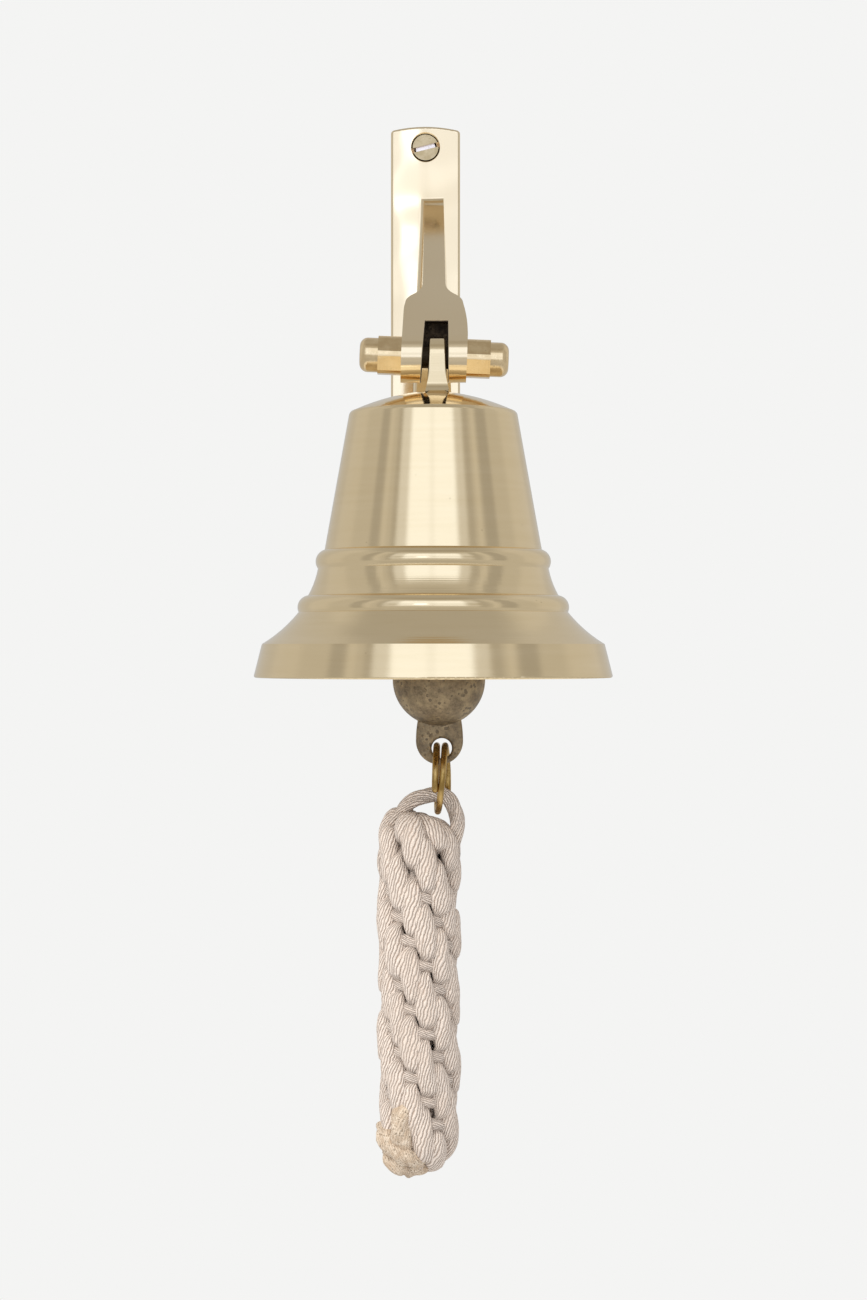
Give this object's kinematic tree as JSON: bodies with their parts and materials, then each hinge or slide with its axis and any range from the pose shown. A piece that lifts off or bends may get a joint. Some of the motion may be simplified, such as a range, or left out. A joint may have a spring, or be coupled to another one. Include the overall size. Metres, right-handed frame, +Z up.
{
  "type": "wall-mounted ship bell",
  "caption": "Turned brass bell pinned in the fork of a wall bracket, with a hanging clapper rung by a plaited rope lanyard.",
  "frame": {"origin": "on the wall, at the middle of the bracket's back face, midway between its two screws", "axes": "+Z up, +Y into the wall, the bell hangs out towards -Y"},
  "size_m": [0.127, 0.1818, 0.3865],
  "materials": {
    "polished_brass": "polished",
    "bell_brass": "turned and lightly polished",
    "turned_brass": "turned",
    "screw_brass": "satin",
    "cast_brass": "rough, tarnished",
    "aged_brass": "dull, aged",
    "cotton_rope": "soft laid cotton"
  },
  "bodies": {
    "bracket": {"wall_bracket": "polished_brass", "upper_wall_screw": "screw_brass", "lower_wall_screw": "screw_brass", "pivot_stud": "turned_brass", "left_cap_nut": "turned_brass", "right_cap_nut": "turned_brass"},
    "bell": {"bell": "bell_brass", "clapper_eye_bolt": "aged_brass", "eye_bolt_lock_nut": "aged_brass"},
    "hanger_ring": {"hanger_ring": "aged_brass"},
    "clapper": {"clapper": "cast_brass"},
    "lanyard_ring": {"lanyard_ring": "aged_brass"},
    "lanyard": {"lanyard_bight": "cotton_rope", "lanyard_plait": "cotton_rope", "lanyard_heart": "cotton_rope"}
  },
  "joints": [
    {"name": "bell_swing", "type": "hinge", "parent": "bracket", "child": "bell", "pos_m": [0.003, -0.085, -0.0224], "axis": [0.9993, 0, -0.0384], "range_deg": [-50, 11]},
    {"name": "hanger_swing", "type": "hinge", "parent": "bell", "child": "hanger_ring", "pos_m": [0.005, -0.085, -0.0642], "axis": [1, 0, 0], "range_deg": [-10, 10]},
    {"name": "clapper_swing", "type": "hinge", "parent": "hanger_ring", "child": "clapper", "pos_m": [0.005, -0.085, -0.07755], "axis": [0, 1, 0], "range_deg": [-30, 30]},
    {"name": "lanyard_ring_swing", "type": "hinge", "parent": "clapper", "child": "lanyard_ring", "pos_m": [0.0059, -0.085, -0.1657], "axis": [1, 0, 0], "range_deg": [-22, 22]},
    {"name": "lanyard_swing", "type": "hinge", "parent": "lanyard_ring", "child": "lanyard", "pos_m": [0.0059, -0.085, -0.18345], "axis": [0, 1, 0], "range_deg": [-20, 20]}
  ]
}
